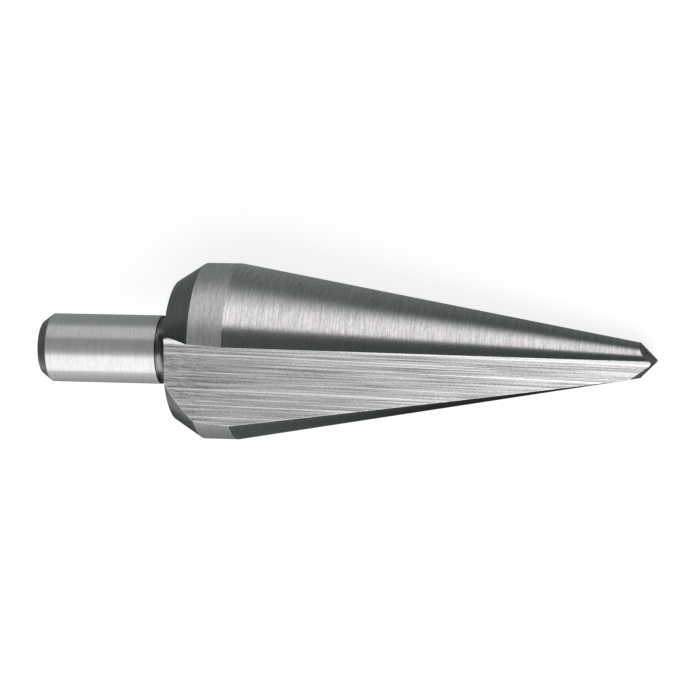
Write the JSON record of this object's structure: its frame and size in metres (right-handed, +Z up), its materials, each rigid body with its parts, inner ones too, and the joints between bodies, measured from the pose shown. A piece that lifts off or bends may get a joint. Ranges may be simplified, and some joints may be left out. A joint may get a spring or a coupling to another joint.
{
  "type": "cone drill bit",
  "caption": "Cone drill bit with a plain round shank, a short neck and a long tapered head with straight flutes, for drilling and widening round holes in sheet.",
  "frame": {"origin": "bottom centre of the box round the bit as it lies on a table", "axes": "+X level, from the shank towards the point; +Z up, with one flute on top and the other on the table"},
  "size_m": [0.0712, 0.0204, 0.0185],
  "materials": {
    "tool_steel": "ground tool steel, fine rings on the round faces and long straight lines in the flutes"
  },
  "bodies": {
    "root": {"cone_drill_bit": "tool_steel"}
  },
  "joints": []
}
